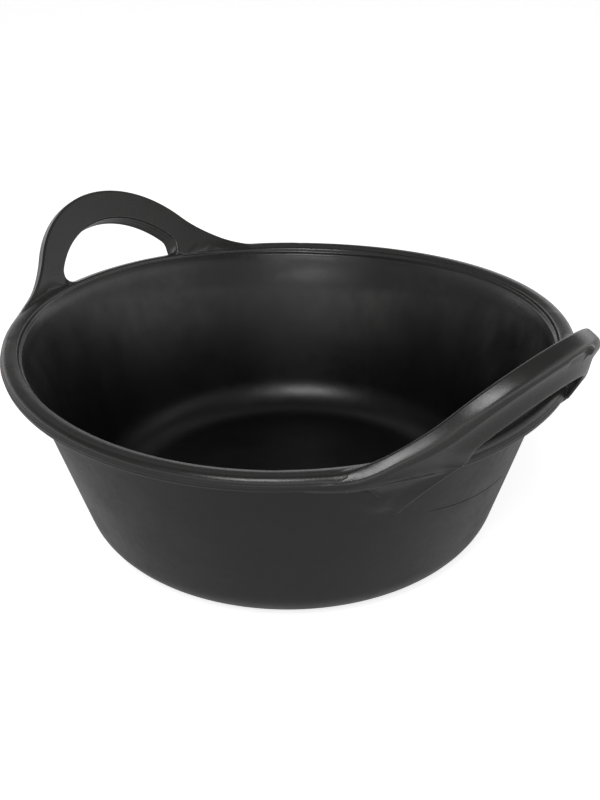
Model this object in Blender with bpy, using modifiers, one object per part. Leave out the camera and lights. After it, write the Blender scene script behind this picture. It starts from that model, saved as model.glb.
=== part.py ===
"""Ground feeder: a round moulded rubber tub with a rolled rim and two loop handles moulded on.

Metres, +Z up, origin at the middle of the underside, handles on the X axis.
"""
import bmesh
import bpy
import math
import numpy as np

# Overall
HEIGHT = 0.146
RIM_RADIUS = 0.200
STEPS_ROUND = 96
GAP = 0.0003

# Rim bead, with the rounds of its section and the small step on its inner side
RIM_WIDTH = 0.0118
RIM_DEPTH = 0.0100
RIM_OVERHANG = 0.0134
RIM_SHOULDER = 0.0042
RIM_CHEEK = 0.0020
RIM_INNER_ROUND = 0.0012
STEP_DROP = 0.0054
STEP_WIDTH = 0.0022
STEP_LIP = 0.0016

# Wall, rounded heel and floor
WALL_THICKNESS = 0.0048
WALL_FOOT_RADIUS = 0.1470
HEEL_ROUND = 0.032
INNER_ROUND = 0.032
HEEL_LAND = 0.001
FLOOR_THICKNESS = 0.0080

# Handles
LEAN = math.radians(27.3)
FACE_SETBACK = 0.0012
FACE_RADIUS = 0.222
FACE_FLATTENING = 0.55
HANDLE_THICKNESS = 0.0177
ARCH_HEIGHT = 0.0650
ARCH_RADIUS = 0.0872
ARCH_FOOT = 0.134
HOLE_HEIGHT = 0.0410
HOLE_RADIUS = 0.0694
HOLE_PINCH = 0.0085
HOLE_PINCH_HEIGHT = 0.017
LEG_SHARE = 0.37
LEG_TIP = 0.0695
LEG_TIP_PROUD = 0.0003
LEAST_DEPTH = 0.004
EDGE_ROUND = 0.0060
INNER_EDGE_ROUND = 0.0018
FOOT_SINK = 0.007
CUTTER_FLOOR = 0.03
ARCH_SECTIONS = 57

# Steeper turns than this stay crisp when a piece is shaded smooth
CREASE = math.radians(38)

# Colours of the one rubber, as linear values
RUBBER = (0.0144, 0.0144, 0.0152)

# Clear the scene and make the two collections
for old in list(bpy.data.objects):
    bpy.data.objects.remove(old, do_unlink=True)

scene = bpy.context.scene
parts = bpy.data.collections.new("ground_feeder")
cutters = bpy.data.collections.new("cutters")
for collection in (parts, cutters):
    scene.collection.children.link(collection)


def rubber(name):
    """One matt black rubber material."""
    material = bpy.data.materials.new(name)
    material.use_nodes = True
    shader = material.node_tree.nodes["Principled BSDF"]
    shader.inputs["Base Color"].default_value = (*RUBBER, 1.0)
    shader.inputs["Roughness"].default_value = 0.55
    shader.inputs["Metallic"].default_value = 0.0
    return material


def add_object(name, mesh, collection=parts):
    """An object of a mesh in a collection, with its own material when it is a part."""
    thing = bpy.data.objects.new(name, mesh)
    collection.objects.link(thing)
    if collection is parts:
        mesh.materials.append(rubber(name + "_rubber"))
    else:
        thing.hide_render = True
        thing.display_type = "WIRE"
    return thing


def settle(thing):
    """Replace an object's mesh by the result of its modifiers, facing outward."""
    graph = bpy.context.evaluated_depsgraph_get()
    mesh = bpy.data.meshes.new_from_object(thing.evaluated_get(graph))
    thing.modifiers.clear()
    thing.data = mesh
    work = bmesh.new()
    work.from_mesh(mesh)
    bmesh.ops.remove_doubles(work, verts=work.verts, dist=0.00001)
    bmesh.ops.recalc_face_normals(work, faces=work.faces)
    work.to_mesh(mesh)
    work.free()
    mesh.shade_smooth()
    mesh.set_sharp_from_angle(angle=CREASE)


def turned(name, profile, collection=parts):
    """A ring or a disc turned round Z from a closed profile of (radius, height) points."""
    mesh = bpy.data.meshes.new(name)
    points = [(radius, 0.0, height) for radius, height in profile]
    count = len(points)
    on_axis = [radius < 1e-6 for radius, height in profile]
    edges = []
    for index in range(count):
        after = (index + 1) % count
        if not (on_axis[index] and on_axis[after]):
            edges.append((index, after))
    mesh.from_pydata(points, edges, [])
    thing = add_object(name, mesh, collection)
    screw = thing.modifiers.new("turn", "SCREW")
    screw.axis = "Z"
    screw.angle = 2 * math.pi
    screw.steps = STEPS_ROUND
    screw.render_steps = STEPS_ROUND
    screw.use_merge_vertices = True
    screw.merge_threshold = 0.00001
    settle(thing)
    return thing


def arc(centre, radius, start, end, count):
    """Points on an arc, angles in degrees."""
    angles = np.radians(np.linspace(start, end, count))
    return [(centre[0] + radius * math.cos(a), centre[1] + radius * math.sin(a)) for a in angles]


# Where the wall's outer line runs: from the foot's sharp corner to just below the bead
WALL_TOP = HEIGHT - RIM_DEPTH
WALL_TOP_RADIUS = RIM_RADIUS - RIM_OVERHANG
WALL_LEAN = math.atan2(WALL_TOP_RADIUS - WALL_FOOT_RADIUS, WALL_TOP)
WALL_ANGLE = 90.0 - math.degrees(WALL_LEAN)
WALL_ACROSS = WALL_THICKNESS / math.cos(WALL_LEAN)


def wall_radius(height, inside=False):
    """Radius of the wall's outer or inner line at a height."""
    outer = WALL_FOOT_RADIUS + (WALL_TOP_RADIUS - WALL_FOOT_RADIUS) * height / WALL_TOP
    return outer - WALL_ACROSS if inside else outer


def heel_arc(floor_height, round_radius, inside, count=9):
    """The rounded corner between a floor level and the wall's line, from the floor upward."""
    corner = wall_radius(floor_height, inside)
    tangent = round_radius * math.tan(math.radians(WALL_ANGLE) / 2)
    centre = (corner - tangent, floor_height + round_radius)
    return arc(centre, round_radius, -90.0, WALL_ANGLE - 90.0, count)


OUTER_HEEL = heel_arc(0.0, HEEL_ROUND, False)
INNER_HEEL = heel_arc(FLOOR_THICKNESS, INNER_ROUND, True)
BASE_RADIUS = min(OUTER_HEEL[0][0], INNER_HEEL[0][0]) - GAP / 2
HEEL_TOP = max(OUTER_HEEL[-1][1], INNER_HEEL[-1][1]) + HEEL_LAND

# Floor: a flat disc that the tub stands on
turned("base", [
    (0.0, FLOOR_THICKNESS),
    (BASE_RADIUS, FLOOR_THICKNESS),
    (BASE_RADIUS, 0.0),
    (0.0, 0.0),
])

# Heel: the rounded corner that carries the floor into the wall
turned("heel", [
    (wall_radius(HEEL_TOP, inside=True), HEEL_TOP),
    (wall_radius(HEEL_TOP), HEEL_TOP),
    *reversed(OUTER_HEEL),
    (BASE_RADIUS + GAP, 0.0),
    (BASE_RADIUS + GAP, FLOOR_THICKNESS),
    *INNER_HEEL,
])

# Wall: the flared side, from the heel up to the underside of the bead
wall_start = HEEL_TOP + GAP
wall_end = WALL_TOP - GAP
turned("wall", [
    (wall_radius(wall_end, inside=True), wall_end),
    (wall_radius(wall_end), wall_end),
    (wall_radius(wall_start), wall_start),
    (wall_radius(wall_start, inside=True), wall_start),
])

# Rim bead: flat top, rounded outer shoulder, small step on its inner side
BEAD_INNER = RIM_RADIUS - RIM_WIDTH
STEP_RADIUS = BEAD_INNER - STEP_WIDTH
turned("rim_bead", [
    (BEAD_INNER, HEIGHT - STEP_DROP),
    *arc((BEAD_INNER + RIM_INNER_ROUND, HEIGHT - RIM_INNER_ROUND), RIM_INNER_ROUND, 180.0, 90.0, 3),
    *arc((RIM_RADIUS - RIM_SHOULDER, HEIGHT - RIM_SHOULDER), RIM_SHOULDER, 90.0, 0.0, 6),
    *arc((RIM_RADIUS - RIM_CHEEK, WALL_TOP + RIM_CHEEK), RIM_CHEEK, 0.0, -90.0, 4),
    (wall_radius(WALL_TOP), WALL_TOP),
    (wall_radius(WALL_TOP, inside=True), WALL_TOP),
    (STEP_RADIUS, HEIGHT - STEP_DROP - STEP_LIP),
    (STEP_RADIUS, HEIGHT - STEP_DROP),
])

# Everything inside the tub's outer skin, grown by the gap, to cut the handles' feet
CUT_SHOULDER = arc(
    (RIM_RADIUS - RIM_SHOULDER, HEIGHT - RIM_SHOULDER), RIM_SHOULDER + GAP, 90.0, 0.0, 6)
CUT_CHEEK = arc(
    (RIM_RADIUS - RIM_CHEEK, WALL_TOP + RIM_CHEEK), RIM_CHEEK + GAP, 0.0, -90.0, 4)
tub_cutter = turned("tub_cutter", [
    (0.0, HEIGHT + GAP),
    *CUT_SHOULDER,
    *CUT_CHEEK,
    (wall_radius(WALL_TOP - GAP) + GAP / math.cos(WALL_LEAN), WALL_TOP - GAP),
    (wall_radius(CUTTER_FLOOR) + GAP / math.cos(WALL_LEAN), CUTTER_FLOOR),
    (0.0, CUTTER_FLOOR),
], cutters)

# The arch's outline: a crown arc and a cove that runs out along the rim
CROWN_CENTRE = ARCH_HEIGHT - ARCH_RADIUS
FOOT_SQUARE = ARCH_FOOT ** 2 + CROWN_CENTRE ** 2 - ARCH_RADIUS ** 2
COVE_RADIUS = FOOT_SQUARE / (2 * (ARCH_RADIUS + CROWN_CENTRE))
JOIN_ANGLE = math.degrees(math.atan2(COVE_RADIUS - CROWN_CENTRE, ARCH_FOOT))


def face_out(across, up):
    """How far out the handle's inner face stands at a point of it: (across, up the lean)."""
    bend = FACE_RADIUS + FACE_FLATTENING * up
    sag = bend - np.sqrt(bend ** 2 - across ** 2)
    return BEAD_INNER + FACE_SETBACK - sag + up * math.sin(LEAN)


def wall_depth(across, up):
    """How deep behind the handle's inner face the wall's outer skin lies, by repeated correction."""
    depth = 0.0
    for _ in range(DEPTH_ROUNDS):
        height = HEIGHT + up * math.cos(LEAN) - depth * math.sin(LEAN)
        skin = math.sqrt(wall_radius(height) ** 2 - across ** 2)
        depth = (skin - float(face_out(across, up))) / math.cos(LEAN)
    return depth


# The legs run down a share of the height and end just proud of the wall, at any height or lean
LEG_REACH = LEG_SHARE * HEIGHT
DEPTH_ROUNDS = 12
LEG_TIP_THICKNESS = wall_depth(LEG_TIP, -LEG_REACH) + LEG_TIP_PROUD


def spaced(points, count):
    """The same polyline with points at even distances along it."""
    line = np.array(points)
    steps = np.linalg.norm(np.diff(line, axis=0), axis=1)
    along = np.concatenate([[0.0], np.cumsum(steps)])
    wanted = np.linspace(0.0, along[-1], count)
    return np.stack([np.interp(wanted, along, line[:, axis]) for axis in range(2)], axis=1)


def arch_edge(count):
    """Half of the arch's outline from the crown to the foot: (across, up the lean)."""
    crown = arc((0.0, CROWN_CENTRE), ARCH_RADIUS, 90.0, JOIN_ANGLE, 60)
    cove = arc((ARCH_FOOT, COVE_RADIUS), COVE_RADIUS, 180.0 + JOIN_ANGLE, 270.0, 40)
    sunk = [(ARCH_FOOT + FOOT_SINK, -FOOT_SINK)]
    return spaced(crown + cove[1:] + sunk, count)


def hole_edge(count):
    """Half of the hole's edge, from its crown down the leg to the leg's tip below the rim."""
    centre = HOLE_HEIGHT - HOLE_RADIUS
    end = math.degrees(math.asin(-centre / HOLE_RADIUS))
    points = []
    for across, up in arc((0.0, centre), HOLE_RADIUS, 90.0, end, 60):
        part = max(1.0 - up / HOLE_PINCH_HEIGHT, 0.0)
        points.append((across - HOLE_PINCH * part * part * (3 - 2 * part), up))
    start = points[-1][0]
    for part in np.linspace(0.0, 1.0, 30)[1:]:
        points.append((start + (LEG_TIP - start) * (1 - (1 - part) ** 2), -LEG_REACH * part))
    return spaced(points, count)


def thickness(across, up):
    """Thickness of the handle at a point of its face; it thins along the rim and down the leg."""
    share = np.clip(np.abs(across) / (ARCH_FOOT + FOOT_SINK), 0.0, 1.0)
    body = HANDLE_THICKNESS * (1 - share ** 4)
    down = np.clip(-up / LEG_REACH, 0.0, 1.0)
    return body + (LEG_TIP_THICKNESS - body) * down


def section(width, depth):
    """A rectangle with rounded corners: lists of (0..1 across the band, 0..1 through it)."""
    outer = min(EDGE_ROUND, 0.4 * width, 0.45 * depth)
    inner = min(INNER_EDGE_ROUND, 0.2 * width, 0.3 * depth)
    loop = []
    loop += arc((outer, depth - outer), outer, 180.0, 90.0, 5)
    loop += [(width * share, depth) for share in (0.35, 0.5, 0.65)]
    loop += arc((width - outer, depth - outer), outer, 90.0, 0.0, 5)
    loop += arc((width - inner, inner), inner, 0.0, -90.0, 3)
    loop += [(width * share, 0.0) for share in (0.7, 0.5, 0.3)]
    loop += arc((inner, inner), inner, -90.0, -180.0, 3)
    points = np.array(loop)
    return points[:, 0] / width, points[:, 1] / depth


def handle_mesh(name):
    """A loft of unlike sections from one leg over the crown to the other leg, closed at its ends."""
    half = ARCH_SECTIONS // 2 + 1
    outline = arch_edge(half)
    hole = hole_edge(half)
    rings = []
    for index in range(half):
        top = outline[index]
        low = hole[index]
        width = float(np.linalg.norm(low - top))
        depth = float(thickness(*((top + low) / 2)))
        share, through = section(width, max(depth, LEAST_DEPTH))
        place = top + (low - top) * share[:, None]
        deep = thickness(place[:, 0], place[:, 1]) * through
        out = face_out(place[:, 0], place[:, 1]) + deep * math.cos(LEAN)
        high = HEIGHT + place[:, 1] * math.cos(LEAN) - deep * math.sin(LEAN)
        rings.append(np.stack([out, place[:, 0], high], axis=1))
    mirrored = [ring * [1.0, -1.0, 1.0] for ring in rings[:0:-1]]
    rings = np.array(mirrored + rings)
    count = rings.shape[1]
    faces = []
    for row in range(len(rings) - 1):
        for column in range(count):
            after = (column + 1) % count
            faces.append((row * count + column, row * count + after,
                          (row + 1) * count + after, (row + 1) * count + column))
    faces.append(tuple(range(count)))
    faces.append(tuple((len(rings) - 1) * count + column for column in reversed(range(count))))
    mesh = bpy.data.meshes.new(name)
    mesh.from_pydata(rings.reshape(-1, 3).tolist(), [], faces)
    return mesh


# Two handles, each cut to sit over the bead and the wall with the gap between
for name, turn in (("handle_right", 0.0), ("handle_left", math.pi)):
    handle = add_object(name, handle_mesh(name))
    settle(handle)
    cut = handle.modifiers.new("seat", "BOOLEAN")
    cut.operation = "DIFFERENCE"
    cut.solver = "EXACT"
    cut.object = tub_cutter
    settle(handle)
    if turn:
        work = bmesh.new()
        work.from_mesh(handle.data)
        for vertex in work.verts:
            vertex.co.x, vertex.co.y = -vertex.co.x, -vertex.co.y
        work.to_mesh(handle.data)
        work.free()
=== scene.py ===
"""Looks of the ground feeder: one seamless skin of moulded black rubber over the solids.

Metres, +Z up, the handles on the X axis. The near handle is at +X.
"""
import math

import bpy
import numpy as np
from mathutils import Matrix, Vector


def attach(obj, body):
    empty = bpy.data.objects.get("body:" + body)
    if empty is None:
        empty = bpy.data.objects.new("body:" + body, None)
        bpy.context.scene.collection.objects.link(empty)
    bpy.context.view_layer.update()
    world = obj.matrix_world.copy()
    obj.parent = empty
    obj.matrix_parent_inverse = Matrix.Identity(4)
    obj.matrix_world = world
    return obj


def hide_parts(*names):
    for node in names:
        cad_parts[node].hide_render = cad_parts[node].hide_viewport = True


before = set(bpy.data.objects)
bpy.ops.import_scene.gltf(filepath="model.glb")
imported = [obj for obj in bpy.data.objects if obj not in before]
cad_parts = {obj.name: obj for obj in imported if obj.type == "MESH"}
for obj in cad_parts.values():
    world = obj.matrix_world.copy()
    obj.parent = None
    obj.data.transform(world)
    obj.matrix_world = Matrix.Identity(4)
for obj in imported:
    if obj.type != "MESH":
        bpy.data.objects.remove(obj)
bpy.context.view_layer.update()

# Tub
HEIGHT = 0.1458
RIM_RADIUS = 0.200
BEAD_INNER = 0.1882
RIM_DEPTH = 0.0100
RIM_SHOULDER = 0.0045
RIM_CROWN_TILT = 10.0
RIM_CROWN_SWELL = 0.00035
RIM_CORNER_DROP = 0.0005
RIM_INNER_ROUND = 0.0022
RIM_CHEEK = 0.0022
PARTING_RIDGE = 0.0005
PARTING_DROP = 0.0009
PARTING_HALF_WIDTH = 0.0003
WALL_TOP_RADIUS = 0.1864
WALL_FOOT_RADIUS = 0.1470
WALL_THICKNESS = 0.0048
HEEL_ROUND = 0.032
FLOOR_THICKNESS = 0.0080
MIDDLE_HOLE = 0.0005

# Small step inside the rim, as radius and depth below the top, from its foot upward
RIM_STEP = ((0.1855, 0.0068), (0.1858, 0.0059), (0.18605, 0.0053), (0.1865, 0.00485),
            (0.1871, 0.0045), (0.1877, 0.0041), (0.1880, 0.0036))

# At the handles the step inside the rim fades to a trace, and the bead is deeper and softer
GROOVE_TRACE = 0.15
BEAD_DEEPER = 0.0008
SHOULDER_SOFTER = 0.0012

# The soft rim doesn't lie quite flat: two high places and two low ones, and a dip under each hole
RIM_WAVE = 0.00364
RIM_WAVE_LOW = math.radians(127.9)
RIM_ROLL = 0.20
RIM_ROLL_WIDTH = 0.0125
RIM_OUTER_HALF = (0.1875, 0.1985)
HOLE_DIP = 0.0026

# The wall thins toward the rim, and ends in a small step under the bead
THINNING_START = HEIGHT - 0.085
STEP_HEIGHT = HEIGHT - 0.0068
WALL_THINNING = 0.0031

# Handles
ARCH_HEIGHT = 0.0671
ARCH_RADIUS = 0.0872
ARCH_FOOT = 0.1342
FOOT_SINK = 0.007
FOOT_DROP = 0.0012
HOLE_HEIGHT = 0.0432
HOLE_RADIUS = 0.0694
HOLE_PINCH = 0.0085
HOLE_PINCH_HEIGHT = 0.017
HOLE_FLARE = 0.0012
LEG_REACH = 0.0510
LEG_TIP = 0.0692
LEG_TIP_THICKNESS = 0.0080
LEG_SLOPE = 0.53
LEG_EASE = 0.0030
LEG_ZONE = 0.066
BAND_SLOPE = 0.34
BAND_EASE = 0.0035
BAND_WIDTH = 0.010
HANDLE_THICKNESS = 0.0168
FACE_RADIUS = 0.2216
FACE_FLATTENING = 0.551
HANDLE_DROP = 0.0023
HANDLE_SHIFT = 0.0029
LEANS = {1: math.radians(25.5), -1: math.radians(29.0)}

# Rounding of the handles' edges, more along the arch, and easing of their joins with the tub
EDGE_CROWN = 0.0009
EDGE_ROUND = 0.0024
ARCH_SOFTER = 0.0024
INNER_EDGE_ROUND = 0.0012
INNER_ARCH_SOFTER = 0.0008
HOLE_EASE = 0.0014
CORNER_EASE = 0.0106
SIDE_EASE = 0.0016
FOOT_EASE = 0.0084

# Moulding marks on the handles: distances out through the handle, then depths and widths
SHOULDER_LINE = 0.0138
HOLE_LINES = (0.0050, 0.0105)
SHOULDER_LINE_DEPTH = 0.00018
SHOULDER_LINE_WIDTH = 0.0007
HOLE_LINE_HEIGHT = 0.00022
HOLE_LINE_WIDTH = 0.0006
SLOT_DEPTH = 0.0009
NUB_HEIGHT = 0.0018

# Grids: columns round the tub, crowded toward the handles, then rows and columns of a handle
TUB_COLUMNS = 560
CROWDING = 0.55
HANDLE_ROWS = 360
HANDLE_COLUMNS = 128
SQUARENESS = 0.32
JOIN_DEPTH = 0.0045
NUDGE = 2e-5

# Studio
FLOOR_HALF = 4.0
FLOOR_LIFT = 0.76
FLOOR_GLOW = 0.12
CEILING = 0.10
FRONT = (0.96, -0.26, 0.10)


def smooth(low, high, value):
    """0 below low, 1 above high, and an S curve between.

    The curve is 3 times the square of the share of the way, less 2 times its cube.
    """
    share = np.clip((value - low) / (high - low), 0.0, 1.0)
    return share * share * (3 - 2 * share)


def arc(centre, radius, start, end, count):
    """Points on a circle: the centre plus the radius times each angle's cosine and sine."""
    angles = np.radians(np.linspace(start, end, count))
    across = centre[0] + radius * np.cos(angles)
    return np.stack([across, centre[1] + radius * np.sin(angles)], axis=1)


def line(start, end, count):
    """Points at even distances on a straight line, without its last point."""
    return np.linspace(start, end, count, endpoint=False)


def even(path, count):
    """The same polyline with its points at even distances along it."""
    steps = np.linalg.norm(np.diff(path, axis=0), axis=1)
    along = np.concatenate([[0.0], np.cumsum(steps)])
    wanted = np.linspace(0.0, along[-1], count)
    return np.stack([np.interp(wanted, along, path[:, axis]) for axis in range(2)], axis=1)


def joined(*paths):
    """Several polylines as one array of points."""
    return np.concatenate([np.atleast_2d(np.array(path)) for path in paths])


class Outline:
    """Signed distance to a closed outline, negative inside, kept on a fine table for quick reading.

    An entry is the distance to the nearest side. It is inside where a level ray from it crosses an
    odd number of sides.
    """

    def __init__(self, path, low, high, pitch):
        self.low, self.pitch = np.array(low), pitch
        size = np.ceil((np.array(high) - self.low) / pitch).astype(int) + 1
        across = self.low[0] + pitch * np.arange(size[0])
        up = self.low[1] + pitch * np.arange(size[1])
        points = np.stack(np.meshgrid(across, up, indexing="ij"), axis=-1).reshape(-1, 2)
        best = np.full(len(points), 1e9)
        inside = np.zeros(len(points), bool)
        for a, b in zip(path, np.roll(path, -1, axis=0)):
            side = b - a
            share = np.clip((points - a) @ side / max(side @ side, 1e-18), 0.0, 1.0)
            best = np.minimum(best, np.linalg.norm(points - a - share[:, None] * side, axis=1))
            spans = (a[1] > points[:, 1]) != (b[1] > points[:, 1])
            if a[1] != b[1]:
                crossing = a[0] + (points[:, 1] - a[1]) * side[0] / side[1]
                inside ^= spans & (points[:, 0] < crossing)
        self.table = np.where(inside, -best, best).reshape(size)

    def __call__(self, across, up):
        """Reads the table between its four nearest entries, each weighted by its nearness."""
        x = np.clip((across - self.low[0]) / self.pitch, 0, self.table.shape[0] - 1.001)
        y = np.clip((up - self.low[1]) / self.pitch, 0, self.table.shape[1] - 1.001)
        i, j = x.astype(int), y.astype(int)
        x, y = x - i, y - j
        t = self.table
        low = t[i, j] * (1 - x) + t[i + 1, j] * x
        high = t[i, j + 1] * (1 - x) + t[i + 1, j + 1] * x
        return low * (1 - y) + high * y


# The tub's section, from the middle of its floor up the inside, over the rim and down the outside
WALL_TOP = HEIGHT - RIM_DEPTH
WALL_LEAN = math.atan2(WALL_TOP_RADIUS - WALL_FOOT_RADIUS, WALL_TOP)
WALL_ANGLE = 90.0 - math.degrees(WALL_LEAN)


def wall_radius(height, thickness=0.0):
    """Radius of the wall at a height: along its straight outer line, less a thickness."""
    outer = WALL_FOOT_RADIUS + (WALL_TOP_RADIUS - WALL_FOOT_RADIUS) * height / WALL_TOP
    return outer - thickness / math.cos(WALL_LEAN)


def heel(floor_height, thickness, count):
    """The rounded corner between a floor level and the wall's line: an arc that touches both."""
    tangent = HEEL_ROUND * math.tan(math.radians(WALL_ANGLE) / 2)
    centre = (wall_radius(floor_height, thickness) - tangent, floor_height + HEEL_ROUND)
    return arc(centre, HEEL_ROUND, -90.0, WALL_ANGLE - 90.0, count)


def wall_thinning(height):
    """How much thinner the wall is toward the rim, by the square of the share of the way up."""
    share = np.clip((height - THINNING_START) / (STEP_HEIGHT - THINNING_START), 0.0, 1.0)
    return WALL_THINNING * share ** 2


inner_heel = heel(FLOOR_THICKNESS, WALL_THICKNESS, 14)
outer_heel = heel(0.0, 0.0, 13)
tilt = math.radians(90.0 + RIM_CROWN_TILT)
corner_point = (BEAD_INNER + RIM_INNER_ROUND * (1 + math.cos(tilt)), HEIGHT - RIM_CORNER_DROP)
corner_centre = corner_point - RIM_INNER_ROUND * np.array([math.cos(tilt), math.sin(tilt)])
corner = arc(corner_centre, RIM_INNER_ROUND, 180.0, 90.0 + RIM_CROWN_TILT, 8)
leg_low = (wall_radius(HEIGHT - LEG_ZONE), HEIGHT - LEG_ZONE)


def tub_section(groove):
    """The section's points, with the step inside the rim whole (1) or faded away (0).

    Its parts are straight lines and arcs that touch them. The rim's crown swells by half a sine
    wave, and the parting ridge is a small point between the shoulder and the cheek.
    """
    step = np.array(RIM_STEP)
    low = WALL_TOP - (1 - groove) * BEAD_DEEPER
    shoulder = RIM_SHOULDER + (1 - groove) * SHOULDER_SOFTER
    crown_middle = RIM_RADIUS - shoulder
    crown = np.linspace(corner[-1], (crown_middle, HEIGHT), 7)
    crown[:, 1] += RIM_CROWN_SWELL * np.sin(np.linspace(0.0, math.pi, 7)) * groove
    ridge = HEIGHT - shoulder - PARTING_DROP
    heights = np.linspace(inner_heel[-1, 1], STEP_HEIGHT - 0.0006, 27)
    radii = wall_radius(heights, WALL_THICKNESS) + wall_thinning(heights)
    inner_wall = np.stack([radii, heights], axis=1)
    plain = line(inner_wall[-1], corner[0], 8)[1:]
    step = groove * np.stack([step[:, 0], HEIGHT - step[:, 1]], axis=1) + (1 - groove) * plain
    return joined(
        line((MIDDLE_HOLE, FLOOR_THICKNESS), inner_heel[0], 10),
        inner_heel[:-1],
        inner_wall,
        step,
        corner[:-1],
        crown[:-1],
        arc((crown_middle, HEIGHT - shoulder), shoulder, 90.0, 0.0, 12),
        [(RIM_RADIUS, ridge + PARTING_HALF_WIDTH), (RIM_RADIUS + PARTING_RIDGE, ridge),
         (RIM_RADIUS, ridge - PARTING_HALF_WIDTH)],
        arc((RIM_RADIUS - RIM_CHEEK, low + RIM_CHEEK), RIM_CHEEK, 0.0, -90.0, 7),
        line((RIM_RADIUS - RIM_CHEEK - 0.001, low), (WALL_TOP_RADIUS + 0.001, low), 7),
        line((wall_radius(low - 0.0006), low - 0.0006), leg_low, 26),
        line(leg_low, outer_heel[-1], 12),
        outer_heel[::-1][:-1],
        line(outer_heel[0], (MIDDLE_HOLE, 0.0), 10),
    )


# The section's distance tables: how low a point they take, then low corner, high corner and pitch
TABLE_FOOT = 0.06
RIM_TABLE = ((0.13, 0.07), (0.235, 0.165), 0.00025)
section, plain_section = tub_section(1.0), tub_section(0.0)
rim_outline = Outline(section[section[:, 1] > TABLE_FOOT], *RIM_TABLE)
plain_outline = Outline(plain_section[plain_section[:, 1] > TABLE_FOOT], *RIM_TABLE)

# The handle's outline on its face: the arch over the top, the hole's edge and the legs below it
CROWN_CENTRE = ARCH_HEIGHT - ARCH_RADIUS
foot_reach = ARCH_FOOT ** 2 + CROWN_CENTRE ** 2 - ARCH_RADIUS ** 2
COVE_RADIUS = foot_reach / 2 / (ARCH_RADIUS + CROWN_CENTRE)
JOIN_ANGLE = math.degrees(math.atan2(COVE_RADIUS - CROWN_CENTRE, ARCH_FOOT))
arch_edge = joined(
    arc((0.0, CROWN_CENTRE), ARCH_RADIUS, 90.0, JOIN_ANGLE, 80),
    arc((ARCH_FOOT, COVE_RADIUS), COVE_RADIUS, 180.0 + JOIN_ANGLE, 270.0, 50)[1:],
    [(ARCH_FOOT + FOOT_SINK, -FOOT_SINK)],
)
hole_centre = HOLE_HEIGHT - HOLE_RADIUS
hole_end = math.degrees(math.asin(-hole_centre / HOLE_RADIUS))
hole = arc((0.0, hole_centre), HOLE_RADIUS, 90.0, hole_end, 80)
pinch = np.maximum(1.0 - hole[:, 1] / HOLE_PINCH_HEIGHT, 0.0)
hole[:, 0] -= HOLE_PINCH * pinch * pinch * (3 - 2 * pinch)
down = np.linspace(0.0, 1.0, 40)[1:]
leg_across = hole[-1, 0] + (LEG_TIP - hole[-1, 0]) * (1 - (1 - down) ** 2)
leg = np.stack([leg_across, -LEG_REACH * down], axis=1)
hole_edge = joined(hole, leg)
arch_coarse, hole_coarse = even(arch_edge, 70), even(hole_edge, 60)
whole_arch = joined(arch_coarse[::-1] * [-1, 1], arch_coarse[1:])
HANDLE_TABLE = ((-0.16, -0.075), (0.16, 0.09))
band_outline = Outline(
    joined(whole_arch, hole_coarse[::-1], hole_coarse[1:] * [-1, 1]), *HANDLE_TABLE, 0.0006)
arch_only = Outline(joined(whole_arch, [(0.2, -0.2), (-0.2, -0.2)]), *HANDLE_TABLE, 0.001)


def rim_wave(points):
    """Height that the soft rim adds at a point: a cosine of twice the bearing, growing with height.

    Under each hole the outer half of the rim also dips.
    """
    bearing = np.arctan2(points[:, 1], points[:, 0])
    grow = np.clip(points[:, 2] / HEIGHT, 0.0, 1.2) ** 2
    under_hole = smooth(0.085, 0.050, np.abs(points[:, 1]))
    outer_half = smooth(*RIM_OUTER_HALF, np.hypot(points[:, 0], points[:, 1]))
    near_rim = smooth(HEIGHT - 0.045, HEIGHT - 0.015, points[:, 2])
    dip = HOLE_DIP * under_hole * outer_half * near_rim
    return -RIM_WAVE * np.cos(2 * (bearing - RIM_WAVE_LOW)) * grow - dip


def rim_roll(points):
    """Height that the rim's inner side loses at the back low place, where it rolls inward.

    It is a share of the distance inward from the crown, times the cosine of twice the bearing.
    """
    bearing = np.arctan2(points[:, 1], points[:, 0])
    at_back = np.cos(bearing - RIM_WAVE_LOW) > 0
    low_place = np.maximum(np.cos(2 * (bearing - RIM_WAVE_LOW)), 0.0) * at_back
    radius = np.hypot(points[:, 0], points[:, 1])
    inward = np.clip(RIM_OUTER_HALF[1] - radius, 0.0, RIM_ROLL_WIDTH)
    return RIM_ROLL * low_place * inward * smooth(HEIGHT - 0.034, HEIGHT - 0.012, points[:, 2])


def groove_share(points):
    """How much of the step inside the rim is left: all on the open rim, a trace at a handle."""
    return GROOVE_TRACE + (1 - GROOVE_TRACE) * smooth(0.098, 0.128, np.abs(points[:, 1]))


def leg_edge(up):
    """Distance of the leg's hole-side edge from the handle's middle, at a height on the face."""
    return np.interp(up, leg[::-1, 1], leg[::-1, 0], right=leg[0, 0])


def beside_hole(across, up):
    """Distance from the hole's edge: from its arc above the rim, sideways from the leg below."""
    pinched = np.clip(1.0 - up / HOLE_PINCH_HEIGHT, 0.0, 1.0)
    taken = HOLE_PINCH * pinched ** 2 * (3 - 2 * pinched)
    above = np.hypot(across, up - hole_centre) - HOLE_RADIUS + taken
    return np.where(up > 0, above, np.abs(across) - leg_edge(up))


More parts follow.
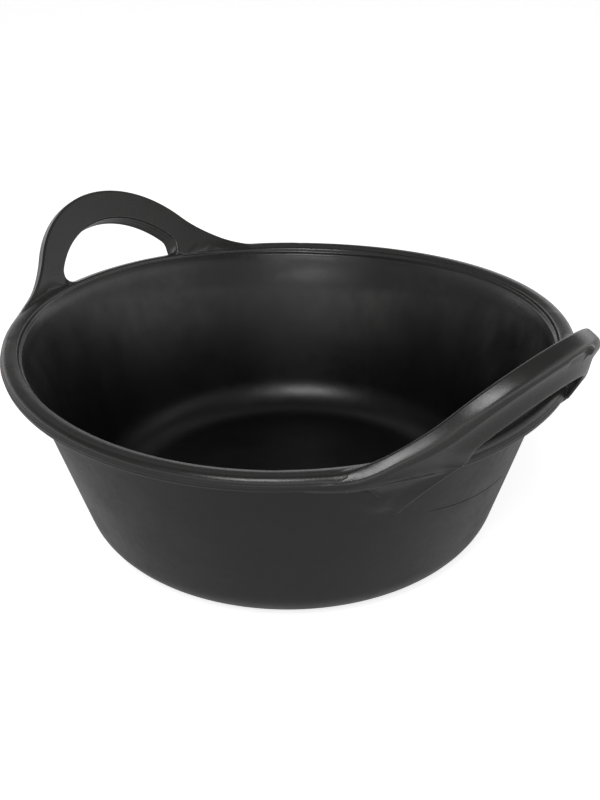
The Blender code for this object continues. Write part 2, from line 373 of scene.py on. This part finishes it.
def thickness(across, up):
    """The handle's thickness: full at the hole's edge, sloping off from it, thinner down the legs.

    The slope starts as a parabola and runs on straight, on the band for 10 mm and no more.
    """
    share = np.clip(np.abs(across) / (ARCH_FOOT + FOOT_SINK), 0.0, 1.0)
    body = HANDLE_THICKNESS * (1 - share ** 4)
    low = np.clip(-up / LEG_REACH, 0.0, 1.15)
    beside = beside_hole(across, up)
    start = np.maximum(beside, 0.0) ** 2 / BAND_EASE / 2
    eased = np.where(beside < BAND_EASE, start, beside - BAND_EASE / 2)
    on_band = BAND_SLOPE * np.minimum(eased, BAND_WIDTH) * smooth(0.118, 0.092, np.abs(across))
    on_leg = LEG_SLOPE * np.maximum(beside - LEG_EASE, 0.0)
    below = smooth(-0.004, -0.030, up)
    return body + (LEG_TIP_THICKNESS - body) * low - on_band - (on_leg - on_band) * below


def sag(across, up):
    """How far the curved face falls back from its middle: the rise of a circle, wider upward."""
    bend = FACE_RADIUS + FACE_FLATTENING * up
    return bend - np.sqrt(np.maximum(bend ** 2 - across ** 2, 1e-6))


def foot_lift(across, up):
    """Height that the rim's wave adds to a handle's feet, which sink into the rim at their ends."""
    bearing = np.arcsin(np.clip(across / RIM_RADIUS, -1.0, 1.0))
    at_foot = smooth(0.075, 0.125, np.abs(across)) * smooth(0.032, 0.004, up)
    wave = -RIM_WAVE * np.cos(2 * (bearing - RIM_WAVE_LOW))
    return (wave - FOOT_DROP * smooth(0.106, 0.135, np.abs(across))) * at_foot


def from_handle(across, up, through, side):
    """Handle coordinates to the tub's: up the leaning curved face, then out through it."""
    lean = LEANS[side]
    out = BEAD_INNER - sag(across, up) + up * math.sin(lean) + through * math.cos(lean)
    foot = HEIGHT - HANDLE_DROP + foot_lift(across, up)
    high = foot + up * math.cos(lean) - through * math.sin(lean)
    return np.stack([side * out, side * across - HANDLE_SHIFT, high], axis=-1)


def to_handle(points, side):
    """The tub's coordinates to a handle's, by repeated correction of the face's curve."""
    lean = LEANS[side]
    across = side * (points[:, 1] + HANDLE_SHIFT)
    up = np.zeros(len(points))
    for _ in range(6):
        out = side * points[:, 0] - BEAD_INNER + sag(across, up)
        high = points[:, 2] - HEIGHT + HANDLE_DROP - foot_lift(across, up)
        up = out * math.sin(lean) + high * math.cos(lean)
    return across, up, out * math.cos(lean) - high * math.sin(lean)


# Middle of the rim's section, as height above the rim and radius
core_low = wall_radius(WALL_TOP, WALL_THICKNESS / 2) + wall_thinning(WALL_TOP) / 2
CORE_TOP = np.array([
    (-RIM_DEPTH, core_low), (-0.0068, 0.1868), (-0.0045, 0.1884), (-0.0036, 0.1889),
    (-0.0029, 0.1886), (-0.0022, 0.1883), (0.0004, 0.1879), (0.0014, 0.1850), (0.0080, 0.1500)])


def core_radius(points):
    """Radius of the middle of the wall at a point's height; above the rim it falls away quickly."""
    high = points[:, 2] - rim_wave(points) + rim_roll(points)
    level = np.minimum(high, WALL_TOP)
    middle = wall_radius(level, WALL_THICKNESS / 2) + wall_thinning(level) / 2
    top = np.interp(high - HEIGHT, CORE_TOP[:, 0], CORE_TOP[:, 1])
    return np.where(high < WALL_TOP, middle, top)


def rounded(side, face, radius):
    """Distance to a rounded corner of two faces: that to its circle's centre, less the radius."""
    a, b = side + radius, face + radius
    return np.hypot(np.maximum(a, 0), np.maximum(b, 0)) + np.minimum(np.maximum(a, b), 0) - radius


def handle_distance(points, side):
    """Distance to a handle's skin: its outline drawn out through its thickness, with rounded edges.

    Toward its outer face the outline draws in along the arch and opens along the hole's edge, by
    the square of the share of the way out. Inside the middle of the wall there is no handle.
    """
    across, up, through = to_handle(points, side)
    flat = band_outline(across, up)
    deep = thickness(across, up)
    thick = np.maximum(deep, 0.001)
    near_arch = smooth(0.010, 0.002, -arch_only(across, up))
    outward = (through / np.maximum(deep, 0.004) - 0.25) / 0.75
    outward = np.clip(outward, 0.0, 1.2) ** 2
    flare = HOLE_FLARE * (1 - near_arch) * smooth(-0.004, 0.012, up)
    flat = flat + (EDGE_CROWN * near_arch - flare) * outward
    softer = ARCH_SOFTER * near_arch * smooth(0.120, 0.070, np.abs(across))
    outer_round = np.minimum(EDGE_ROUND + softer, 0.47 * thick)
    inner_round = np.minimum(INNER_EDGE_ROUND + INNER_ARCH_SOFTER * near_arch, 0.3 * thick)
    outer = rounded(flat, through - deep, outer_round)
    inner = rounded(flat, -through, inner_round)
    core = core_radius(points) - np.hypot(points[:, 0], points[:, 1])
    return np.maximum(np.maximum(outer, inner), core), across, up, through, flat


def rim_distance(points):
    """Distance to the tub's skin without its handles, read in its section."""
    radius = np.hypot(points[:, 0], points[:, 1])
    high = points[:, 2] - rim_wave(points) + rim_roll(points)
    share = groove_share(points)
    return share * rim_outline(radius, high) + (1 - share) * plain_outline(radius, high)


def skin_distance(points, side):
    """The tub and one handle as one body: the smaller distance, eased where the two are close.

    The easing takes off a sixth of its width, times the cube of how nearly the two are equal. It is
    wide at the legs' outer sides and at the hole's inner corners, and narrow in between.
    """
    rim = rim_distance(points)
    handle, across, up, through, flat = handle_distance(points, side)
    outer_side = smooth(0.004, 0.016, np.abs(across) - leg_edge(up))
    corner_share = smooth(0.016, 0.005, np.abs(up))
    outside = np.hypot(points[:, 0], points[:, 1]) - core_radius(points)
    inner_corner = corner_share * smooth(-0.002, 0.004, up) * smooth(0.016, 0.002, through)
    before_foot_end = smooth(0.134, 0.100, np.abs(across))
    hole_ease = HOLE_EASE + CORNER_EASE * inner_corner * smooth(-0.005, 0.0005, flat)
    side_ease = SIDE_EASE + FOOT_EASE * smooth(-0.004, 0.001, through) * before_foot_end
    ease = hole_ease + (side_ease - hole_ease) * outer_side
    ease = ease * (0.05 + 0.95 * smooth(-0.0004, 0.0026, outside))
    close = np.maximum(ease - np.abs(rim - handle), 0.0) / ease
    return np.minimum(rim, handle) - close ** 3 * ease / 6


def settle(points, side, rounds=4):
    """Moves points onto the joined skin: each round by the distance over the slope, along it."""
    for _ in range(rounds):
        here = skin_distance(points, side)
        rise = [skin_distance(points + NUDGE * axis, side) - here for axis in np.eye(3)]
        slope = np.stack(rise, axis=1) / NUDGE
        size = np.maximum((slope ** 2).sum(axis=1), 0.05)
        move = (-here / size)[:, None] * slope
        length = np.linalg.norm(move, axis=1)
        points = points + move * np.minimum(1.0, 0.003 / np.maximum(length, 1e-9))[:, None]
    return points


def sunk(points, settled, other):
    """Points on the joined skin, easing back to their own place where another skin covers them."""
    shown = smooth(-0.0022, 0.0003, other)[:, None]
    return points + shown * (settled - points)


def tub_points(count):
    """The tub's grid: its section turned round Z, with the rim's wave, eased into both handles.

    The columns crowd toward the handles: each bearing is the turn less a sine of twice the turn.
    """
    turn = np.linspace(0.0, 2 * math.pi, count, endpoint=False)
    bearing = (turn - CROWDING * np.sin(2 * turn) / 2)[:, None]
    rim = RIM_RADIUS * np.stack([np.cos(bearing[:, 0]), np.sin(bearing[:, 0])], axis=1)
    share = groove_share(rim)[:, None]
    radius = share * section[:, 0] + (1 - share) * plain_section[:, 0]
    high = share * section[:, 1] + (1 - share) * plain_section[:, 1]
    grid = np.stack([radius * np.cos(bearing), radius * np.sin(bearing), high], axis=-1)
    points = grid.reshape(-1, 3)
    points[:, 2] += rim_wave(points) - rim_roll(points)
    for side in (1, -1):
        close = (points[:, 0] * side > 0.08) & (points[:, 2] > 0.075)
        index = np.nonzero(close)[0]
        distance = handle_distance(points[index], side)[0]
        index = index[(distance < 0.0125) & (distance > -JOIN_DEPTH)]
        own = points[index]
        points[index] = sunk(own, settle(own, side), handle_distance(own, side)[0])
    return points.reshape(grid.shape)


def handle_points(side, along, around):
    """A handle's grid: a rounded section carried from one leg over the crown to the other leg.

    The section is a circle pulled out toward a square by a small power of its cosine and sine,
    stretched between the arch and the hole's edge and through the thickness.
    """
    half = along // 2 + 1
    top, low = even(arch_edge, half), even(hole_edge, half)
    turn = np.linspace(0.0, 2 * math.pi, around, endpoint=False)
    share = np.sign(np.cos(turn)) * np.abs(np.cos(turn)) ** SQUARENESS
    depth = np.sign(np.sin(turn)) * np.abs(np.sin(turn)) ** SQUARENESS
    share, depth = 0.5 - 0.5 * share, 0.5 + 0.5 * depth
    place = top[:, None, :] + (low - top)[:, None, :] * share[None, :, None]
    across, up = place[..., 0], place[..., 1]
    through = thickness(across, up) * depth[None, :]
    grid = np.concatenate([
        from_handle(-across[:0:-1], up[:0:-1], through[:0:-1], side),
        from_handle(across, up, through, side)])
    points = grid.reshape(-1, 3)
    radius = np.maximum(np.hypot(points[:, 0], points[:, 1]), 1e-6)
    points[:, :2] *= np.maximum(core_radius(points) / radius, 1.0)[:, None]
    outside = np.hypot(points[:, 0], points[:, 1]) - core_radius(points)
    shown = np.nonzero((rim_distance(points) > -JOIN_DEPTH) & (outside > 0.0002))[0]
    own = points[shown]
    half_wall = (WALL_THICKNESS - wall_thinning(np.minimum(own[:, 2], WALL_TOP))) / 2
    clear = smooth(0.35, 0.9, outside[shown] / half_wall)[:, None]
    settled = own + clear * (settle(own, side, 5) - own)
    points[shown] = sunk(own, settled, rim_distance(own))
    marked = np.nonzero(points[:, 2] > HEIGHT + 0.008)[0]
    points[marked] = moulding_marks(points[marked], side)
    return points.reshape(grid.shape)


def moulding_marks(points, side):
    """Moves a handle's points by its moulding marks, each a bell curve across a line.

    The two halves of the mould met along the shoulder, which left a fine line there and, on the
    near handle, an open slot with a nub of flash. Two finer lines run along the wall of the hole.
    """
    _, across, up, through, flat = handle_distance(points, side)
    outward = np.stack([
        handle_distance(points + NUDGE * axis, side)[0]
        - handle_distance(points - NUDGE * axis, side)[0]
        for axis in np.eye(3)], axis=1)
    outward /= np.maximum(np.linalg.norm(outward, axis=1), 1e-9)[:, None]
    from_arch = arch_only(across, up)
    on_arch = smooth(-0.0085, -0.0060, from_arch) * smooth(0.075, 0.055, np.abs(across))
    across_line = (through - SHOULDER_LINE) / SHOULDER_LINE_WIDTH
    shoulder_line = -SHOULDER_LINE_DEPTH * np.exp(-across_line ** 2)
    if side == 1:
        slot = smooth(-0.009, -0.003, across) * smooth(0.0155, 0.0135, across)
        nub = smooth(0.0145, 0.0160, across) * smooth(0.0215, 0.0200, across)
        shoulder_line -= SLOT_DEPTH * slot * np.exp(-(across_line / 1.2) ** 2)
        shoulder_line += NUB_HEIGHT * nub * np.exp(-(across_line / 2.6) ** 4)
    in_hole = (smooth(-0.0012, -0.0002, flat) * smooth(-0.010, -0.014, from_arch)
               * smooth(0.004, 0.010, up))
    hole_lines = sum(np.exp(-((through - place) / HOLE_LINE_WIDTH) ** 2) for place in HOLE_LINES)
    shift = shoulder_line * on_arch + HOLE_LINE_HEIGHT * hole_lines * in_hole
    return points + shift[:, None] * outward


def add_surface(name, grid, closed_rows, material):
    """A grid of points as a mesh object.

    The tub's rows close round Z, with a small polygon at each end of its section. A handle's
    columns close round its section, and each end gets a flat cap.
    """
    rows, columns = grid.shape[:2]
    index = np.arange(rows * columns).reshape(rows, columns)
    if closed_rows:
        a, b = index[:, :-1], index[:, 1:]
        quads = np.stack([a, b, np.roll(b, -1, axis=0), np.roll(a, -1, axis=0)], axis=-1)
        ends = [index[:, 0], index[::-1, -1]]
    else:
        a, b = index, np.roll(index, -1, axis=1)
        quads = np.stack([a[:-1], b[:-1], b[1:], a[1:]], axis=-1).reshape(-1, 4)
        # A cap is strips across the section, which leave no long chord inside the curved wall
        middle = columns // 2
        low, top = np.arange(1, middle - 1), np.arange(2, middle)
        ends = []
        for row in (index[0, ::-1], index[-1]):
            row = np.roll(row, 1) if row[0] > row[1] else row
            strips = np.stack([row[low], row[top], row[-top], row[-low]], axis=1)
            quads = np.concatenate([quads, strips])
            ends += [row[[0, 1, -1]], row[[middle - 1, middle, middle + 1]]]
    faces = quads.reshape(-1, 4).tolist() + [end.tolist() for end in ends]
    mesh = bpy.data.meshes.new(name)
    mesh.from_pydata(grid.reshape(-1, 3), [], faces)
    mesh.materials.append(material)
    mesh.shade_smooth()
    thing = bpy.data.objects.new(name, mesh)
    bpy.context.scene.collection.objects.link(thing)
    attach(thing, "root")
    return thing


def linear(code):
    """An sRGB hex colour as linear red, green, blue and 1."""
    parts = [int(code[i:i + 2], 16) / 255 for i in (1, 3, 5)]
    return [p / 12.92 if p <= 0.04045 else ((p + 0.055) / 1.055) ** 2.4 for p in parts] + [1.0]


def add_node(tree, kind, inputs=None, **settings):
    """Adds a node with its settings and links, and returns its outputs.

    Each input takes a number, a colour or another node's output.
    """
    node = tree.nodes.new(kind)
    for name, value in settings.items():
        setattr(node, name, value)
    for name, value in (inputs or {}).items():
        if isinstance(value, bpy.types.NodeSocket):
            tree.links.new(value, node.inputs[name])
        else:
            node.inputs[name].default_value = value
    return node.outputs


def moulded_rubber():
    """Black natural rubber, pressed in a steel mould.

    Carbon black makes it nearly without colour, so what the eye sees is its soft gloss: matt on
    the walls, where the mould was blasted, and smoother on the rim and handles, where hands rub
    it. A thin grey film of wax and mould talc has bloomed out on the inside, mostly toward the
    rim. Just below the rim the grey is thickest, partly as a painted reflection of the bright
    front.
    """
    material = bpy.data.materials.new("moulded_black_rubber")
    material.use_nodes = True
    tree = material.node_tree
    shader = tree.nodes["Principled BSDF"]
    curve = {"interpolation_type": "SMOOTHSTEP"}
    times, plus = {"operation": "MULTIPLY"}, {"operation": "MULTIPLY_ADD"}
    minus = {"operation": "SUBTRACT"}
    place = add_node(tree, "ShaderNodeTexCoord")["Object"]
    parts = add_node(tree, "ShaderNodeSeparateXYZ", {0: place})
    high, sideways = parts["Z"], parts["Y"]
    level = add_node(tree, "ShaderNodeCombineXYZ", {"X": parts["X"], "Y": sideways})[0]
    radius = add_node(tree, "ShaderNodeVectorMath", {0: level}, operation="LENGTH")["Value"]

    # Inside of the wall: closer to the axis than the middle of the wall at that height
    wall_middle = add_node(tree, "ShaderNodeMath", {
        0: high, 1: math.tan(WALL_LEAN), 2: WALL_FOOT_RADIUS - 0.6 * WALL_THICKNESS}, **plus)[0]
    depth = add_node(tree, "ShaderNodeMath", {0: wall_middle, 1: radius}, **minus)[0]
    inside = add_node(tree, "ShaderNodeMapRange", {
        "Value": depth, "From Min": 0.0, "From Max": 0.0006}, **curve)[0]

    # Bloom inside with painted reflection: smudges 60 mm and 10 mm wide, drawn down, thickest below
    # the rim
    rising = add_node(tree, "ShaderNodeMapRange", {
        "Value": high, "From Min": 0.045, "From Max": 0.115}, **curve)[0]
    falling = add_node(tree, "ShaderNodeMapRange", {
        "Value": high, "From Min": 0.160, "From Max": 0.128}, **curve)[0]
    band = add_node(tree, "ShaderNodeMath", {0: rising, 1: falling}, **times)[0]
    drawn = add_node(tree, "ShaderNodeVectorMath", {0: place, 1: (1.0, 1.0, 0.45)}, **times)[0]
    clouds = add_node(tree, "ShaderNodeTexNoise", {
        "Vector": drawn, "Scale": 1 / 0.060, "Detail": 5.0})["Fac"]
    clouds = add_node(tree, "ShaderNodeMapRange", {
        "Value": clouds, "From Min": 0.30, "From Max": 0.74}, **curve)[0]
    flecks = add_node(tree, "ShaderNodeTexNoise", {
        "Vector": drawn, "Scale": 1 / 0.010, "Detail": 4.0})["Fac"]
    flecks = add_node(tree, "ShaderNodeMapRange", {
        "Value": flecks, "From Min": 0.25, "From Max": 0.75, "To Min": 0.50, "To Max": 1.0,
    }, **curve)[0]
    bloom_and_reflection = add_node(tree, "ShaderNodeMath", {0: clouds, 1: flecks}, **times)[0]
    bloom_and_reflection = add_node(tree, "ShaderNodeMath", {0: bloom_and_reflection, 1: band}, **times)[0]
    bloom_and_reflection = add_node(tree, "ShaderNodeMath", {0: bloom_and_reflection, 1: inside}, **times)[0]
    # Rim and handles are evenly paler, rising over the top 18 mm to 0.55 of the way to the grey
    upper = add_node(tree, "ShaderNodeMapRange", {
        "Value": high, "From Min": 0.128, "From Max": 0.146, "To Max": 0.55}, **curve)[0]
    # Share of the pale grey: bloomed smudges with painted reflection inside, and the paler rim and
    # handles
    pale_share = add_node(tree, "ShaderNodeMath", {0: bloom_and_reflection, 1: upper}, operation="MAXIMUM")[0]
    tint = add_node(tree, "ShaderNodeMix", {
        "Factor": pale_share, 6: linear("#070708"), 7: linear("#302f2e")}, data_type="RGBA")[2]
    tree.links.new(tint, shader.inputs["Base Color"])

    # Witness line of a mould insert on the wall under the near handle: a parabola, 0.7 mm wide
    slant = add_node(tree, "ShaderNodeMath", {0: sideways, 1: 1.2, 2: -0.105}, **plus)[0]
    curved = add_node(tree, "ShaderNodeMath", {0: slant, 1: sideways, 2: 0.0797}, **plus)[0]
    off_line = add_node(tree, "ShaderNodeMath", {0: high, 1: curved}, **minus)[0]
    off_line = add_node(tree, "ShaderNodeMath", {0: off_line}, operation="ABSOLUTE")[0]
    witness = add_node(tree, "ShaderNodeMapRange", {
        "Value": off_line, "From Min": 0.0007, "From Max": 0.0001}, **curve)[0]
    for value, low, top in ((depth, 0.0, -0.0006), (parts["X"], 0.10, 0.12),
                            (sideways, -0.054, -0.040), (sideways, 0.034, 0.022)):
        limit = add_node(tree, "ShaderNodeMapRange", {
            "Value": value, "From Min": low, "From Max": top}, **curve)[0]
        witness = add_node(tree, "ShaderNodeMath", {0: witness, 1: limit}, **times)[0]

    # Gloss: rubbed smoother on the rim and handles, and uneven by patches 30 mm and 5 mm across
    gloss = add_node(tree, "ShaderNodeMapRange", {
        "Value": high, "From Min": 0.1290, "From Max": 0.1390, "To Min": 0.36, "To Max": 0.28,
    }, **curve)[0]
    for size, least, most in ((0.030, 0.92, 1.10), (0.005, 0.94, 1.07)):
        patches = add_node(tree, "ShaderNodeTexNoise", {
            "Vector": place, "Scale": 1 / size, "Detail": 4.0})["Fac"]
        patches = add_node(tree, "ShaderNodeMapRange", {
            "Value": patches, "From Min": 0.30, "From Max": 0.70, "To Min": least, "To Max": most,
        }, **curve)[0]
        gloss = add_node(tree, "ShaderNodeMath", {0: gloss, 1: patches}, **times)[0]
    gloss = add_node(tree, "ShaderNodeMath", {0: witness, 1: 0.5, 2: gloss}, **plus)[0]
    tree.links.new(gloss, shader.inputs["Roughness"])
    shader.inputs["IOR"].default_value = 1.45

    # Surface: the mould's fine grain, 0.9 mm, over a slow waviness, 22 mm, that bends highlights
    fine = add_node(tree, "ShaderNodeTexNoise", {
        "Vector": place, "Scale": 1 / 0.0009, "Detail": 2.0})["Fac"]
    fine = add_node(tree, "ShaderNodeBump", {
        "Strength": 0.35, "Distance": 0.00012, "Height": fine})[0]
    slow = add_node(tree, "ShaderNodeTexNoise", {
        "Vector": place, "Scale": 1 / 0.022, "Detail": 2.0})["Fac"]
    slow = add_node(tree, "ShaderNodeBump", {
        "Strength": 0.5, "Distance": 0.0005, "Height": slow, "Normal": fine})[0]
    cut = add_node(tree, "ShaderNodeBump", {
        "Strength": 1.0, "Distance": 0.0005, "Height": witness, "Normal": slow}, invert=True)[0]
    tree.links.new(cut, shader.inputs["Normal"])
    return material


rubber = moulded_rubber()
tub = add_surface("tub_skin", tub_points(TUB_COLUMNS), True, rubber)
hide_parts("base", "heel", "wall", "rim_bead")
for side, name, node in ((1, "near_handle_skin", "handle_right"),
                         (-1, "far_handle_skin", "handle_left")):
    handle = add_surface(name, handle_points(side, HANDLE_ROWS, HANDLE_COLUMNS), False, rubber)
    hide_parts(node)

# Camera, from the fit to the photograph
camera_data = bpy.data.cameras.new("camera")
camera_data.sensor_fit = "VERTICAL"
camera_data.sensor_height = 36.0
camera_data.lens = 46.45
camera = bpy.data.objects.new("camera", camera_data)
bpy.context.scene.collection.objects.link(camera)
forward = Vector((-0.614604, 0.640418, -0.460572))
right = Vector((0.724291, 0.68945, -0.00785))
upward = Vector((-0.312514, 0.338413, 0.887587))
turned = Matrix((right, upward, -forward)).transposed().to_4x4()
camera.matrix_world = Matrix.Translation((0.47493, -0.48417, 0.43887)) @ turned
bpy.context.scene.camera = camera

# Floor that reads white to the camera and keeps the tub's shadow
quarters = ((-1, -1), (1, -1), (1, 1), (-1, 1))
floor_corners = [(x * FLOOR_HALF, y * FLOOR_HALF, 0) for x, y in quarters]
floor_mesh = bpy.data.meshes.new("floor")
floor_mesh.from_pydata(floor_corners, [], [(0, 1, 2, 3)])
floor = bpy.data.objects.new("floor", floor_mesh)
bpy.context.scene.collection.objects.link(floor)
floor_paint = bpy.data.materials.new("white_paper_floor")
floor_paint.use_nodes = True
paper = floor_paint.node_tree
paper_shader = paper.nodes["Principled BSDF"]
paper_shader.inputs["Base Color"].default_value = linear("#d3d3d3")
paper_shader.inputs["Roughness"].default_value = 0.8
# Seen directly the paper is lifted to white, less so in a reflection, and its shadow stays
rays = add_node(paper, "ShaderNodeLightPath")
mirrored = add_node(paper, "ShaderNodeMath", {
    0: rays["Is Glossy Ray"], 1: rays["Is Transmission Ray"]}, operation="MAXIMUM")[0]
glow = add_node(paper, "ShaderNodeMath", {0: mirrored, 1: FLOOR_GLOW}, operation="MULTIPLY")[0]
lift = add_node(paper, "ShaderNodeMath", {
    0: rays["Is Camera Ray"], 1: FLOOR_LIFT, 2: glow}, operation="MULTIPLY_ADD")[0]
paper.links.new(lift, paper_shader.inputs["Emission Strength"])
paper_shader.inputs["Emission Color"].default_value = linear("#ffffff")
floor_mesh.materials.append(floor_paint)

# Pale studio: a white cove round the tub that gets darker toward the ceiling, brighter in front
world = bpy.data.worlds.new("studio")
world.use_nodes = True
sky = world.node_tree
direction = add_node(sky, "ShaderNodeTexCoord")["Generated"]
above = add_node(sky, "ShaderNodeSeparateXYZ", {0: direction})["Z"]
cove = add_node(sky, "ShaderNodeMapRange", {
    "Value": above, "From Min": 0.22, "From Max": 0.44, "To Min": 1.0, "To Max": CEILING,
}, interpolation_type="SMOOTHSTEP")[0]
facing = add_node(sky, "ShaderNodeVectorMath", {
    0: direction, 1: FRONT}, operation="DOT_PRODUCT")["Value"]
front = add_node(sky, "ShaderNodeMapRange", {
    "Value": facing, "From Min": 0.30, "From Max": 1.0, "To Min": 1.3, "To Max": 2.0})[0]
strength = add_node(sky, "ShaderNodeMath", {0: cove, 1: front}, operation="MULTIPLY")[0]
sky.links.new(strength, sky.nodes["Background"].inputs["Strength"])
sky.nodes["Background"].inputs["Color"].default_value = (1, 1, 1, 1)
bpy.context.scene.world = world


def soft_box(name, bearing, rise, distance, size, power):
    """A rectangular studio lamp at a bearing and angle of rise round the tub, turned to the tub."""
    data = bpy.data.lights.new(name, "AREA")
    data.shape = "RECTANGLE"
    data.size, data.size_y = size
    data.energy = power
    lamp = bpy.data.objects.new(name, data)
    turn, lift_angle = math.radians(bearing), math.radians(rise)
    level = math.cos(lift_angle)
    arm = Vector((math.cos(turn) * level, math.sin(turn) * level, math.sin(lift_angle)))
    lamp.location = Vector((0, 0, 0.12)) + distance * arm
    lamp.rotation_euler = arm.to_track_quat("Z", "Y").to_euler()
    bpy.context.scene.collection.objects.link(lamp)


soft_box("key_box", -57.0, 46.0, 1.8, (0.70, 0.70), 17)
soft_box("back_box", 134.5, 60.0, 2.0, (2.6, 1.0), 3)
soft_box("side_box", 35.0, 30.0, 2.0, (2.2, 0.85), 3.6)
bpy.context.scene.view_settings.view_transform = "Standard"
